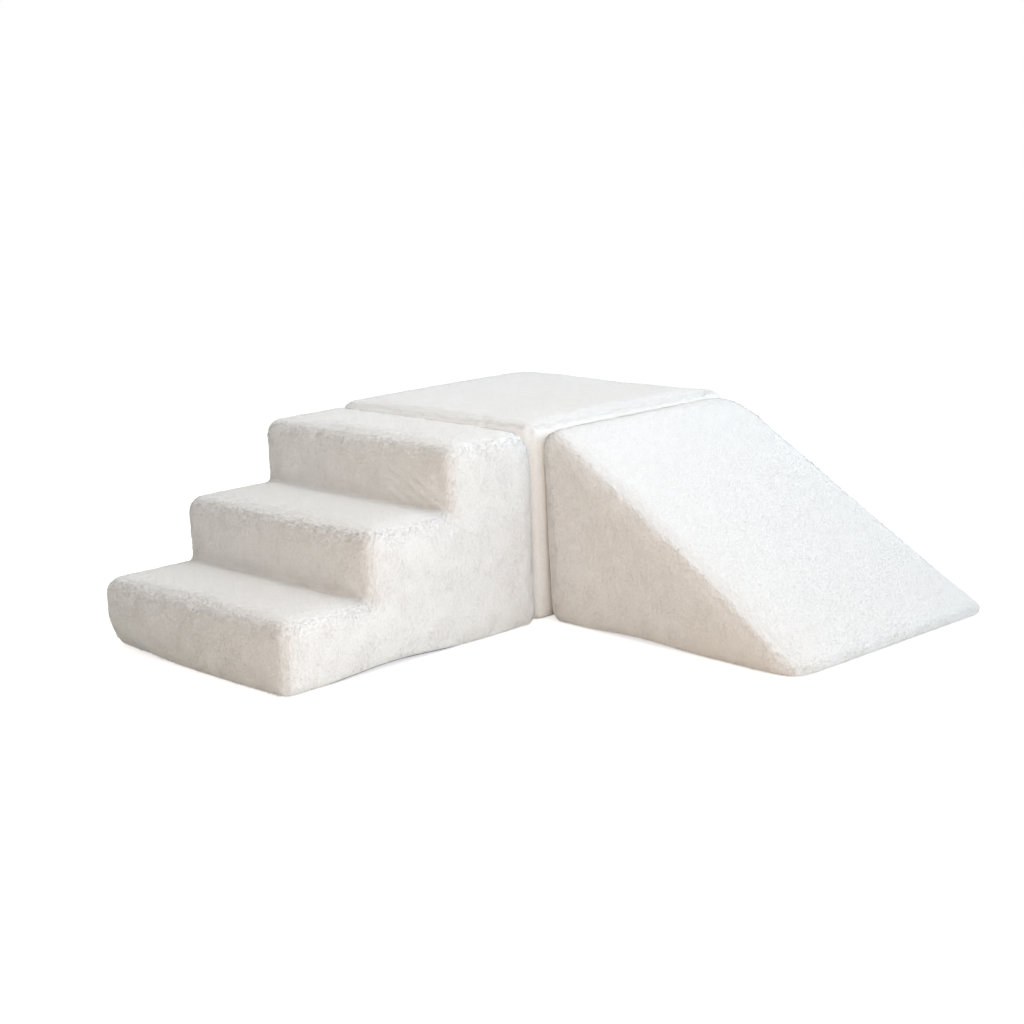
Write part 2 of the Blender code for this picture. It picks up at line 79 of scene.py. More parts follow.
# The pile
PILE_STEP = 0.0025
PILE_MOST = 62000
PILE_LENGTH = 0.0042
PILE_HALF_WIDTH = 0.00085
PILE_LEAN = 0.18
PILE_SUNK = 0.0006
PILE_ROOT = 0.0003
PILE_FLOOR = 0.0003

# The zip
ZIP_WINDOW = 0.016
TAPE_DEPTH = 0.0047
COIL_PITCH = 0.0014
COIL_WIRE = 0.00032
STITCH_LENGTH = 0.0028
STITCH_STEP = 0.0038
STITCH_RADIUS = 0.00028

# The foam and the base
FOAM_VOXEL = 0.009
FOAM_SUNK = 0.0022
BASE_CORNER = 0.016
BASE_GRID = 0.012
DOT_RINGS = ((0.00055, 0.0016), (0.00022, 0.0012))
DOT_SIDES = 6

# The camera that the picture was taken with
CAMERA_PLACE = Vector((2.2696, -2.2812, 0.8086))
CAMERA_AZIMUTH = 45.76
CAMERA_ELEVATION = 12.09
CAMERA_ROLL = -1.935
CAMERA_FOCUS = 1926.0
PICTURE_SIZE = 1024
AIM_RIGHT = 9.2
AIM_DOWN = 6.1
SENSOR_WIDTH = 36.0

# The soft light's colour from each side, the lamps and the floor's own light
SKY = {
    (1.0, 0.0, 0.0): (1.42, 1.84, 2.22),
    (-1.0, 0.0, 0.0): (1.10, 1.06, 0.95),
    (0.0, 1.0, 0.0): (1.50, 1.50, 1.50),
}
FRONT_LAMP = {
    "place": (1.7, -1.6, 0.9), "aim": (0.3, -0.2, 0.12),
    "size": 1.0, "power": 14.2, "colour": (1.0, 0.69, 0.44),
}
TOP_LAMP = {
    "place": (0.1, 0.1, 2.4), "aim": (0.1, -0.1, 0.0),
    "size": 1.6, "power": 25.0, "colour": (1.0, 0.98, 0.97),
}
FLOOR_HALF = 6.0
FLOOR_GLOW = 0.60
FLOOR_TONE = (0.74, 0.70, 0.64, 1.0)
WHITE = (1.0, 1.0, 1.0, 1.0)


# Numbers in space

def smooth(share):
    """0 to 1 with soft ends."""
    held = np.clip(share, 0.0, 1.0)
    return held * held * (3.0 - 2.0 * held)


def toward(share, start=0.3, width=0.4):
    """0 to 1 as a direction's share along an axis rises past a start."""
    return smooth((share - start) / width)


def hump(distance, reach):
    """A soft bell, 1 in the middle."""
    return np.exp(-(distance / reach) ** 2)


def lattice_value(x, y, z, seed):
    """A fixed number from -1 to 1 for each point of a lattice."""
    mask = np.uint64(0xFFFFFFFF)
    h = (x.astype(np.int64) * 374761393 + y.astype(np.int64) * 668265263
         + z.astype(np.int64) * 1440662683 + seed * 974711).astype(np.uint64) & mask
    h = ((h ^ (h >> np.uint64(13))) * np.uint64(1274126177)) & mask
    h = ((h ^ (h >> np.uint64(15))) * np.uint64(2246822519)) & mask
    h = h ^ (h >> np.uint64(16))
    return h.astype(float) / 2147483647.5 - 1.0


def waves(points, length, seed):
    """Smooth noise from -1 to 1 whose hills lie about a length apart."""
    scaled = points / length
    whole = np.floor(scaled)
    part = scaled - whole
    part = part * part * (3.0 - 2.0 * part)
    total = np.zeros(len(points))
    for corner in range(8):
        step = np.array([corner & 1, (corner >> 1) & 1, corner >> 2])
        weight = np.prod(np.where(step == 1, part, 1.0 - part), axis=1)
        at = whole + step
        total += weight * lattice_value(at[:, 0], at[:, 1], at[:, 2], seed)
    return total


# Meshes

def values_of(items, name, width=1, kind=np.float32):
    """One property of a mesh's points, corners or faces, with a row for each."""
    flat = np.empty(len(items) * width, kind)
    items.foreach_get(name, flat)
    return flat if width == 1 else flat.reshape(-1, width).astype(float)


def points_of(mesh):
    """The places of a mesh's points."""
    return values_of(mesh.vertices, "co", 3)


def set_points(mesh, points):
    """Moves a mesh's points."""
    mesh.vertices.foreach_set("co", points.astype(np.float32).ravel())
    mesh.update()


def normals_of(mesh):
    """The directions in which a mesh's surface faces at its points."""
    return values_of(mesh.vertex_normals, "vector", 3)


def new_piece(name, mesh):
    """An object in the scene for a mesh."""
    piece = bpy.data.objects.new(name, mesh)
    scene.collection.objects.link(piece)
    return piece


def mesh_from(name, points, faces):
    """A mesh from its points and faces."""
    mesh = bpy.data.meshes.new(name)
    mesh.from_pydata([tuple(point) for point in points], [], faces)
    mesh.update()
    return mesh


def evaluated_mesh(piece):
    """The mesh of a piece with its modifiers."""
    graph = bpy.context.evaluated_depsgraph_get()
    return bpy.data.meshes.new_from_object(piece.evaluated_get(graph))


def made_mesh(builder, name):
    """A mesh from a finished builder."""
    mesh = bpy.data.meshes.new(name)
    builder.to_mesh(mesh)
    builder.free()
    return mesh


def one_skin(piece, voxel):
    """The closed outer skin of a piece made of several solids."""
    remesh = piece.modifiers.new("one skin", "REMESH")
    remesh.mode = "VOXEL"
    remesh.voxel_size = voxel
    return evaluated_mesh(piece)


def paint(piece, material):
    """Gives a piece or a carried-over node its one material."""
    piece.data.materials.clear()
    piece.data.materials.append(material)


def dress(piece, body, slot, material, *nodes):
    """Puts a finished piece on its body, in place of its plain nodes."""
    paint(piece, material)
    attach(piece, body)
    if nodes:
        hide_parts(*nodes)


# The three blocks

class Block:
    """A covered block. Its own axes: x across it, y from its front to its back, z up."""

    def __init__(self, name, turned, zip_side, strips, sides):
        self.name = name
        self.turned = turned
        self.zip_side = zip_side
        self.strips = strips
        self.sides = sides
        self.across, self.along = (1, 0) if turned else (0, 1)
        low, high = self.box_round("base_panel")
        self.centre = (low + high) / 2
        self.middle = np.array((self.centre.x, self.centre.y, 0.0))
        low, high = self.box_round(*sides)
        self.half_width = (high[self.across] - low[self.across]) / 2
        self.half_length = (high[self.along] - low[self.along]) / 2
        low, high = self.box_round(*strips)
        self.seam = (high[self.across] - low[self.across] + SEAM_GAP) / 2
        self.zip_low, self.zip_high = self.box_round("zip_tape_upper", "zip_tape_lower")
        ends = self.to_own(np.array([self.zip_low, self.zip_high]))
        self.zip_ends = sorted((ends[0][1], ends[1][1]))
        self.zip_height = (self.zip_low.z + self.zip_high.z) / 2

    def box_round(self, *names):
        """The low and high corners of the box round some of the block's nodes."""
        boxes = np.array([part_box(f"{self.name}_{name}") for name in names])
        return Vector(boxes[:, 0].min(axis=0)), Vector(boxes[:, 1].max(axis=0))

    def turn_to_own(self, moves):
        """Room directions in the block's own axes."""
        if self.turned:
            return np.stack((moves[:, 1], -moves[:, 0], moves[:, 2]), axis=1)
        return moves

    def turn_to_room(self, moves):
        """Own directions in the room's axes."""
        if self.turned:
            return np.stack((-moves[:, 1], moves[:, 0], moves[:, 2]), axis=1)
        return moves

    def to_own(self, points):
        """Room places in the block's own axes."""
        return self.turn_to_own(points - self.middle)

    def to_room(self, points):
        """Own places in the room's axes."""
        return self.turn_to_room(points) + self.middle


PLATFORM = Block("platform", True, 1, ("top_panel",), ("front_panel", "rear_panel"))
STAIRS = Block("stairs", False, -1, ("step_panel",), ("left_panel", "right_panel"))
RAMP = Block("ramp", True, 1, ("slope_panel", "back_panel"), ("near_panel", "far_panel"))
BLOCKS = (PLATFORM, STAIRS, RAMP)


# How each block sits: slow changes of form that its cover, foam and base share

def round_corner(own, corner, depth):
    """Draws a cover in at one of its top corners."""
    away = np.linalg.norm(own - np.array(corner), axis=1)
    return 0.58 * depth * hump(away, 0.035)[:, None] * np.sign(corner)


def draw_in(move, drawn, x_way, y_way):
    """Moves a cover's corner along both of its sides at once."""
    move[:, 0] += x_way * CORNER_SHARE * drawn
    move[:, 1] += y_way * CORNER_SHARE * drawn


def settle_stairs(own):
    """The stairs' lifted hem on the right, the foot drawn in at the front left."""
    x, y, z = own.T
    move = np.zeros_like(own)
    right = smooth((x - 0.10) / 0.10)
    near_floor = 1.0 - smooth(z / 0.075)
    move[:, 2] += 0.0072 * hump(y + 0.045, 0.095) * right * near_floor
    corner = np.hypot(x + HALF_WIDTH, y + STAIRS_END)
    draw_in(move, 0.019 * hump(corner, 0.085) * np.clip(1.0 - z / 0.052, 0.0, 1.0) ** 1.8, 1, 1)
    corner = np.hypot(x - HALF_WIDTH, y - STAIRS_END)
    draw_in(move, 0.005 * hump(corner, 0.045) * np.clip(1.0 - z / 0.030, 0.0, 1.0) ** 1.6, -1, -1)
    move[:, 0] += 0.005 * hump(corner, 0.020)
    front = smooth((-0.19 - y) / 0.05)
    move[:, 1] -= 0.0035 * hump(x - 0.07, 0.13) * front * (1.0 - smooth(z / 0.08))
    move[:, 2] += 0.0025 * hump(x + 0.11, 0.05) * front * (1.0 - smooth(z / 0.05))
    return move - round_corner(own, (HALF_WIDTH, STAIRS_END, 0.300), 0.006)


def settle_platform(own):
    """The platform's uneven top, its fuller far end and the soft corner behind."""
    x, y, z = own.T
    move = np.zeros_like(own)
    top = smooth((z - 0.20) / 0.10)
    move[:, 2] += top * (0.0008 * waves(own, 0.16, 11) - 0.0008)
    move[:, 2] -= top * 0.0025 * hump(y + 0.02, 0.07) * smooth((x - 0.10) / 0.10)
    move[:, 1] += 0.014 * smooth((y - 0.12) / 0.10) * smooth(z / 0.10)
    corner = np.hypot(x - HALF_WIDTH, y - HALF_WIDTH)
    draw_in(move, 0.012 * hump(corner, 0.060) * top, -1, -1)
    corner = np.hypot(x - HALF_WIDTH, y + HALF_WIDTH)
    move[:, 0] += 0.026 * hump(corner, 0.048) * top
    return move


def settle_ramp(own):
    """The slide's slightly uneven slope, spread toe and rounded corners."""
    x, y, z = own.T
    move = np.zeros_like(own)
    slope = smooth((z - 0.03) / 0.06) * (1.0 - smooth((y - 0.17) / 0.06))
    move[:, 2] += slope * 0.0010 * waves(own, 0.20, 21)
    toe = np.clip((RAMP_END - y) / (2 * RAMP_END), 0.0, 1.0)
    near = np.clip((HALF_WIDTH - x) / (2 * HALF_WIDTH), 0.0, 1.0)
    low = 1.0 - smooth((z - 0.05) / 0.10)
    move[:, 0] -= 0.012 * toe ** 1.5 * near * low
    move[:, 1] -= 0.012 * toe ** 2 * (1.0 - near)
    corner = np.hypot(x + HALF_WIDTH, y + RAMP_END)
    draw_in(move, 0.014 * hump(corner, 0.030), 1, 1)
    corner = np.hypot(x + HALF_WIDTH, y - RAMP_END)
    draw_in(move, 0.007 * hump(corner, 0.040) * np.clip(1.0 - z / 0.040, 0.0, 1.0) ** 1.5, 1, -1)
    move[:, 0] -= 0.005 * hump(corner, 0.020)
    near_hem = smooth((-0.12 - x) / 0.08) * (1.0 - smooth(z / 0.07))
    move[:, 2] += 0.0042 * hump(y - 0.055, 0.075) * near_hem
    move[:, 2] -= 0.0050 * hump(y - RAMP_END, 0.022) * smooth((z - 0.255) / 0.045)
    corner = np.hypot(x - HALF_WIDTH, y - 0.235)
    crest = hump(corner, 0.045) * smooth((z - 0.255) / 0.045)
    move[:, 0] -= 0.010 * crest
    move[:, 2] -= 0.007 * crest
    return move - round_corner(own, (-HALF_WIDTH, RAMP_END, 0.311), 0.004)


SETTLE = {"platform": settle_platform, "stairs": settle_stairs, "ramp": settle_ramp}


def base_inset(block, own):
    """How far inside the cover the base's edge lies. It nearly shows at two hems."""
    x, y, z = own.T
    shown = np.zeros(len(own))
    if block is STAIRS:
        shown = smooth((x - 0.10) / 0.05) * smooth((y + 0.20) / 0.05)
        shown *= 1.0 - smooth((y - 0.05) / 0.05)
    if block is RAMP:
        shown = smooth((-0.15 - y) / 0.05) * smooth((x + 0.215) / 0.02)
        shown *= 1.0 - smooth((x - 0.10) / 0.08)
    return BASE_INSET + (BASE_SHOWN_INSET - BASE_INSET) * shown


# The swollen form of a cover

def closed_form(block):
    """One closed skin round a block: its foam, its panels and the shut zip."""
    builder = bmesh.new()
    names = ["core"] + list(block.strips) + list(block.sides)
    for name in names:
        builder.from_mesh(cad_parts[f"{block.name}_{name}"].data)
    low, high = block.zip_low.copy(), block.zip_high.copy()
    if block.turned:
        high.y += TAPE_DEPTH - 0.0007
    else:
        low.x -= TAPE_DEPTH - 0.0007
    made = bmesh.ops.create_cube(builder, size=1.0)
    bmesh.ops.scale(builder, vec=high - low, verts=made["verts"])
    bmesh.ops.translate(builder, vec=(high + low) / 2, verts=made["verts"])
    form = new_piece(f"{block.name}_form", made_mesh(builder, f"{block.name}_form"))
    skin = one_skin(form, FORM_VOXEL)
    form.modifiers.clear()
    form.data = skin
    return form


def swelling_cap(block, own, facing):
    """How far each point of the cover may swell out."""
    cap = np.full(len(own), SWELL_CAP)
    if block is PLATFORM:
        cap += toward(-facing[:, 1]) * (NEIGHBOUR_CAP - cap)
        cap += toward(-facing[:, 0]) * (NEIGHBOUR_CAP - cap)
    else:
        cap += toward(facing[:, 1]) * (NEIGHBOUR_CAP - cap)
    by_zip = toward(facing[:, 0] * block.zip_side) * (1.0 - smooth((own[:, 2] - 0.050) / 0.05))
    cap += by_zip * (ZIP_SIDE_CAP - cap)
    return cap


def swell(block, form):
    """Cloth under a light pressure from the foam, held at the hem."""
    start = points_of(form.data)
    own = block.to_own(start)
    facing = block.turn_to_own(normals_of(form.data))
    moved = np.zeros_like(start)
    held = form.vertex_groups.new(name="hem")
    held.add(np.nonzero(start[:, 2] < PINNED_HEIGHT)[0].tolist(), 1.0, "REPLACE")
    cloth = form.modifiers.new("cloth", "CLOTH")
    settings = cloth.settings
    settings.quality = 4
    settings.use_pressure = True
    settings.uniform_pressure_force = SWELL_PRESSURE
    settings.effector_weights.gravity = 0.0
    settings.vertex_group_mass = "hem"
    cloth.point_cache.frame_start = 1
    cloth.point_cache.frame_end = SWELL_FRAMES
    for step in range(1, SWELL_FRAMES + 1):
        scene.frame_set(step)
    done = evaluated_mesh(form)
    moved = block.turn_to_own(points_of(done) - start)
    form.modifiers.clear()
    form.vertex_groups.clear()
    bpy.data.meshes.remove(done)
    scene.frame_set(1)
    cap = swelling_cap(block, own, facing)
    out = (moved * facing).sum(axis=1)
    kept = np.where(out > 0, cap * np.tanh(out / cap), -SUNK_CAP * np.tanh(-out / SUNK_CAP))
    along = moved - out[:, None] * facing
    length = np.linalg.norm(along, axis=1)
    along *= (ALONG_CAP * np.tanh(length / ALONG_CAP) / np.maximum(length, 1e-9))[:, None]
    set_points(form.data, start + block.turn_to_room(kept[:, None] * facing + along))


def refine(form):
    """One subdivision, applied."""
    finer = form.modifiers.new("finer", "SUBSURF")
    finer.levels = 1
    finer.render_levels = 1
    mesh = evaluated_mesh(form)
    form.modifiers.clear()
    form.data = mesh


def seam_planes(block):
    """The planes that a cover's seams lie in, as a point and a direction in the room."""
    across = Vector((0, 1, 0)) if block.turned else Vector((1, 0, 0))
    middle = Vector((block.centre.x, block.centre.y, 0.0))
    planes = [(middle + across * block.seam, across), (middle - across * block.seam, across)]
    if block is RAMP:
        planes.append(crest_plane())
    return planes


def crest_plane():
    """The plane of the seam below the slide's crest, square to the slope."""
    slope = points_of(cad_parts["ramp_slope_panel"].data)
    top = slope[slope[:, 2].argmax()]
    foot = slope[slope[:, 0].argmax()]
    down = Vector((foot[0] - top[0], 0.0, foot[2] - top[2])).normalized()
    return Vector((top[0], 0.0, top[2])), down


def below_crest(room):
    """How far down the slope from the crest's seam each place lies."""
    place, down = crest_plane()
    return (room - np.array(place)) @ np.array(down)


def cut_seams(block, form):
    """Adds edges along the seams and round the zip's window."""
    builder = bmesh.new()
    builder.from_mesh(form.data)

    def cut(geometry, snap, place, direction):
        bmesh.ops.bisect_plane(
            builder, geom=geometry, dist=snap, plane_co=place, plane_no=direction)

    for place, direction in seam_planes(block):
        every = list(builder.verts) + list(builder.edges) + list(builder.faces)
        cut(every, SEAM_SNAP, place, direction)
    across, along = block.across, block.along
    wall = block.centre[across] + block.zip_side * (block.half_width - 0.003)
    half = ZIP_WINDOW / 2
    low_end, high_end = block.zip_low[along] - 0.0003, block.zip_high[along] + 0.0003

    def by_window():
        faces = [
            face for face in builder.faces
            if (face.calc_center_median()[across] - wall) * block.zip_side > 0
            and abs(face.calc_center_median().z - block.zip_height) < 0.020
            and low_end - 0.02 < face.calc_center_median()[along] < high_end + 0.02
        ]
        edges = {edge for face in faces for edge in face.edges}
        verts = {vert for face in faces for vert in face.verts}
        return faces + list(edges) + list(verts)

    up = Vector((0, 0, 1))
    side = Vector((1, 0, 0)) if along == 0 else Vector((0, 1, 0))
    for height in (block.zip_height - half, block.zip_height + half):
        cut(by_window(), 1e-6, up * height, up)
    for end in (low_end, high_end):
        cut(by_window(), 1e-6, side * end, side)
    form.data = made_mesh(builder, form.name)


# Pile, seams and puckers

def pile_move(block, room, own, facing):
    """How far the pile stands out or lies in at each point, along the surface's direction."""
    x, y, z = own.T
    flat = smooth((facing[:, 2] - 0.2) / 0.5)
    wall = 1.0 - (0.95 if block is PLATFORM else 0.80) * flat
    out = wall * (0.0008 * waves(room, 0.062, 1) + 0.0006 * waves(room, 0.031, 2))
    out += wall * (0.00030 * waves(room, 0.0145, 3) + 0.00022 * waves(room, 0.0078, 4))
    near_seam = np.minimum(np.abs(x - block.seam), np.abs(x + block.seam))
    groove = hump(near_seam, SEAM_REACH)
    beside = hump(near_seam - 0.0075, 0.0055)
    wobble = 1.0 + 0.5 * waves(room, 0.024, 5)
    out -= SEAM_DEPTH * wobble * groove
    out += 0.0002 * beside * (1.0 + waves(room, 0.018, 6))
    return out - PILE_SUNK


def fill_gaps(block, facing):
    """How much each point faces the next block, and how far the cover leans out to it."""
    front = toward(-facing[:, 1], 0.5)
    back = toward(facing[:, 1], 0.5)
    near = toward(-facing[:, 0], 0.5)
    if block is RAMP:
        return back, SLIDE_FILL * back
    if block is PLATFORM:
        return np.maximum(front, near), SLIDE_FILL * front + STAIRS_FILL * near
    return back, STAIRS_FILL * back


def press_by_zip(block, own, facing, out):
    """The cover lies flat beside the zip."""
    by_zip = toward(facing[:, 0] * block.zip_side) * (1.0 - smooth((own[:, 2] - 0.045) / 0.03))
    return out * (1.0 - 0.75 * by_zip) - 0.0008 * by_zip


def stairs_puckers(own, facing):
    """Folds in the stairs' cover: the lower right of the top riser, and the front right seam."""
    x, y, z = own.T
    riser = toward(-facing[:, 1], 0.4)
    third = riser * hump(y - 0.075, 0.012)
    across = (x - 0.11) * 0.45 + (z - 0.235) * 0.9
    reach = hump(x - 0.15, 0.075) * hump(z - 0.238, 0.030)
    out = third * reach * 0.0010 * np.cos(across / 0.017 * 2 * math.pi)
    low = 1.0 - smooth((z - 0.03) / 0.04)
    corner = hump(x - 0.222, 0.018) * hump(y + 0.245, 0.022) * low
    out -= corner * 0.0004 * (0.6 + 0.8 * np.cos((x - y) / 0.016 * 2 * math.pi))
    low = 1.0 - smooth((z - 0.012) / 0.03)
    out -= 0.0030 * hump(x - HALF_WIDTH, 0.02) * hump(y - 0.155, 0.012) * low
    upright = waves(np.stack((x, y, z * 0.25), axis=1), 0.035, 31)
    return out + riser * hump(y + STAIRS_END, 0.02) * 0.0010 * upright


def shape_cover(block, form):
    """Gives the swollen cover its settled form, seams, puckers and hem."""
    room = points_of(form.data)
    own = block.to_own(room)
    facing_room = normals_of(form.data)
    facing = block.turn_to_own(facing_room)
    out = pile_move(block, room, own, facing)
    if block is STAIRS:
        out += stairs_puckers(own, facing)
    if block is RAMP:
        out -= SEAM_DEPTH * 0.9 * toward(facing[:, 2], 0.5, 0.3) * hump(below_crest(room), 0.0026)
    facing_near, fill = fill_gaps(block, facing)
    out = press_by_zip(block, own, facing, out * (1.0 - 0.7 * facing_near)) + fill
    out *= 1.0 - toward(-facing[:, 2], 0.3, 0.5)
    settled = SETTLE[block.name](own)
    inset = np.minimum(block.half_width - np.abs(own[:, 0]), block.half_length - np.abs(own[:, 1]))
    over_base = smooth((inset - base_inset(block, own) + 0.0035) / 0.0030)
    lowest = HEM_FLOOR + (BASE_TOP + 0.0002 - HEM_FLOOR) * over_base
    droop = HEM_DROOP * (1.0 - smooth(own[:, 2] / 0.020))
    height = np.maximum(own[:, 2] + facing[:, 2] * out - droop, lowest) + settled[:, 2]
    result = block.to_room(own + settled) + facing_room * out[:, None]
    result[:, 2] = np.maximum(height, HEM_FLOOR)
    set_points(form.data, result)
    return own


def panel_with_lips(name, mesh, chosen, loops, starts, totals, normals):
    """Some faces of a cover as one panel, with its raw edges turned in."""
    faces = [loops[start:start + total].tolist()
             for start, total in zip(starts[chosen], totals[chosen])]
    seen = {}
    for face in faces:
        for first, second in zip(face, face[1:] + face[:1]):
            key = (first, second) if first < second else (second, first)
            seen[key] = None if key in seen else (first, second)
    rim = [pair for pair in seen.values() if pair]
    used = np.unique(np.concatenate([np.array(face) for face in faces]))
    renumber = np.full(len(mesh.vertices), -1)
    renumber[used] = np.arange(len(used))
    points = points_of(mesh)
    kept = points[used]
    lip_points = sorted({point for pair in rim for point in pair})
    lip_number = {point: len(used) + at for at, point in enumerate(lip_points)}
    lips = points[lip_points] - normals[lip_points] * LIP_DEPTH
    new_faces = [[int(renumber[point]) for point in face] for face in faces]
    for first, second in rim:
        outer = [int(renumber[second]), int(renumber[first])]
        new_faces.append(outer + [lip_number[first], lip_number[second]])
    made = mesh_from(name, np.vstack((kept, lips)), new_faces)
    made.shade_smooth()
    shade = np.vstack((normals[used], normals[lip_points]))
    made.normals_split_custom_set_from_vertices(shade.tolist())
    return new_piece(name, made), len(faces)


def cut_panels(block, form, own):
    """Cuts a cover into its panels, without the part of its underside that the base closes."""
    mesh = form.data
    loops = values_of(mesh.loops, "vertex_index", kind=np.int32)
    starts = values_of(mesh.polygons, "loop_start", kind=np.int32)
    totals = values_of(mesh.polygons, "loop_total", kind=np.int32)
    facing = values_of(mesh.polygons, "normal", 3)
    counts = np.repeat(np.arange(len(totals)), totals)
    centres = np.stack([
        np.bincount(counts, own[loops, axis], len(totals)) / totals for axis in range(3)
    ], axis=1)
    x, y, z = centres.T
    inside = np.abs(x) < block.half_width - HEM_WIDTH
    inside &= np.abs(y) < block.half_length - HEM_WIDTH
    closed_by_base = (z < 0.005) & (facing[:, 2] < -0.6) & inside
    window = (
        (x * block.zip_side > block.half_width - 0.003)
        & (np.abs(z - block.zip_height) < ZIP_WINDOW / 2)
        & (y > block.zip_ends[0] - 0.0003) & (y < block.zip_ends[1] + 0.0003)
    )
    groups = {block.sides[0]: x < -block.seam, block.sides[1]: x > block.seam}
    middle = np.abs(x) <= block.seam
    if block is RAMP:
        low_back = (z < 0.006) & (y > 0)
        on_slope = (below_crest(block.to_room(centres)) > 0) & ~low_back
        on_slope &= y < block.half_length - 0.012
        groups["slope_panel"] = middle & on_slope
        groups["back_panel"] = middle & ~on_slope
    else:
        groups[block.strips[0]] = middle
    shown = ~closed_by_base & ~window
    normals = normals_of(mesh)
    return {
        name: panel_with_lips(f"{block.name}_{name}_plush", mesh, chosen & shown,
                              loops, starts, totals, normals)
        for name, chosen in groups.items()
    }


def lengths_of(vectors):
    """The length of each vector, as a column."""
    return np.maximum(np.linalg.norm(vectors, axis=1), 1e-9)[:, None]


def nap_direction(room, facing, calm, draws):
    """The way the pile is brushed: forwards on top, down on the walls, in wandering swirls."""
    none = np.zeros(len(facing))
    down = np.stack((none, -0.6 * np.abs(facing[:, 2]), none - 1.0), axis=1)
    swirl = np.stack([
        0.75 * waves(room, 0.034, 51 + axis) + 0.45 * waves(room, 0.012, 54 + axis)
        for axis in range(3)
    ], axis=1)
    nap = down + swirl * calm[:, None] + 0.35 * draws.normal(size=room.shape)
    nap -= (nap * facing).sum(axis=1)[:, None] * facing
    return nap / lengths_of(nap)


def edge_share(block, facing):
    """1 where a cover turns over an edge and 0 on its flat faces."""
    flats = [(1, 0, 0), (-1, 0, 0), (0, 1, 0), (0, -1, 0), (0, 0, 1)]
    if block is RAMP:
        place, down = crest_plane()
        flats.append((0.0, down.z, down.x))
    straight = np.max([facing @ np.array(flat, float) for flat in flats], axis=0)
    return smooth((0.985 - straight) / 0.16)


def tuft_mesh(name, corners, shade):
    """Three-sided points from their four corners each, shaded all over in one direction."""
    count = len(corners)
    sides = np.array(((2, 3, 0), (1, 3, 2), (0, 3, 1)))
    loops = (np.arange(count)[:, None, None] * 4 + sides[None]).astype(np.int32)
    made = bpy.data.meshes.new(name)
    made.vertices.add(count * 4)
    made.vertices.foreach_set("co", corners.astype(np.float32).ravel())
    made.loops.add(count * 9)
    made.loops.foreach_set("vertex_index", loops.ravel())
    made.polygons.add(count * 3)
    made.polygons.foreach_set("loop_start", np.arange(count * 3, dtype=np.int32) * 3)
    made.update(calc_edges=True)
    made.validate()
    made.shade_smooth()
    made.normals_split_custom_set_from_vertices(np.repeat(shade, 4, axis=0).tolist())
    return made


def pile_piece(block, name, panel, outer, seed):
    """Short tufts over one panel: three-sided points that lean the way the nap is brushed."""
    faces = panel.data.polygons
    draws = np.random.default_rng(seed)
    place = values_of(faces, "center", 3)[:outer]
    room_facing = values_of(faces, "normal", 3)[:outer]
    wanted = values_of(faces, "area")[:outer].astype(float) / PILE_STEP ** 2
    share = min(1.0, PILE_MOST / wanted.sum())
    own = block.to_own(place)
    under = (room_facing[:, 2] < -0.4) & (own[:, 2] < 0.012)
    by_zip = (
        (own[:, 0] * block.zip_side > block.half_width - 0.012)
        & (np.abs(own[:, 2] - block.zip_height) < ZIP_WINDOW / 2 + 0.0025)
        & (own[:, 1] > block.zip_ends[0] - 0.004) & (own[:, 1] < block.zip_ends[1] + 0.004)
    )
    grown = (draws.random(outer) < wanted * share) & ~under & ~by_zip
    place, room_facing = place[grown], room_facing[grown]
    facing = block.turn_to_own(room_facing)
    cap = swelling_cap(block, own[grown], facing)
    pressed = 0.35 + 0.65 * smooth((cap - NEIGHBOUR_CAP) / 0.001)
    edge = edge_share(block, facing) * pressed
    flat = toward(facing[:, 2], 0.2) * (1.0 - edge)
    calm = 1.0 - (0.94 if block is PLATFORM else 0.84) * flat
    nap = block.turn_to_room(nap_direction(place, facing, calm, draws))
    across = np.cross(room_facing, nap)
    count = len(place)
    place = place + draws.uniform(-0.5, 0.5, (count, 1)) * PILE_STEP * nap
    place += draws.uniform(-0.5, 0.5, (count, 1)) * PILE_STEP * across
    length = PILE_LENGTH * pressed * (0.75 + 0.5 * draws.random(count))
    length *= 1.0 + 0.3 * calm * waves(place, 0.017, 61) + 0.25 * edge
    rise = PILE_LEAN * (1.0 - 0.4 * flat)
    rise += calm * (0.05 * waves(place, 0.021, 62) + 0.05 * draws.normal(size=count))
    rise = np.clip(rise + edge * (0.09 + 0.10 * draws.normal(size=count)), 0.04, 0.50)
    half = (PILE_HALF_WIDTH * (0.8 + 0.4 * draws.random(count)))[:, None]
    root = place - room_facing * PILE_ROOT
    lean = nap * np.sqrt(1.0 - rise ** 2)[:, None] + room_facing * rise[:, None]
    tip = place + lean * length[:, None]
    tip[:, 2] = np.maximum(tip[:, 2], PILE_FLOOR)
    corners = np.stack((root + across * half, root - across * half, root - nap * half, tip), axis=1)
    grain = 0.045 + 0.34 * calm * (1.0 - flat) + 0.10 * edge
    if block is STAIRS:
        grain += 0.045 * flat
    along_tilt = 0.09 * calm * waves(place, 0.013, 63) + 0.14 * grain * waves(place, 0.0055, 65)
    along_tilt += grain * 0.24 * draws.normal(size=count)
    side_tilt = 0.08 * calm * waves(place, 0.009, 64) + 0.14 * grain * waves(place, 0.0048, 66)
    side_tilt += grain * 0.36 * draws.normal(size=count)
    shade = room_facing - nap * along_tilt[:, None] + across * side_tilt[:, None]
    return new_piece(f"{name}_pile", tuft_mesh(f"{name}_pile", corners, shade / lengths_of(shade)))


# Materials

def node(tree, kind, place, **values):
    """A shader node with its settings and the values of its sockets."""
    made = tree.nodes.new(kind)
    made.location = place
    for name, value in values.items():
        label = name.replace("_", " ")
        if label in made.inputs:
            made.inputs[label].default_value = value
        else:
            setattr(made, name, value)
    return made


def joiner(tree):
    """A function that joins one node's output to another's input."""
    def join(source, out, target, into):
        tree.links.new(source.outputs[out], target.inputs[into])
    return join


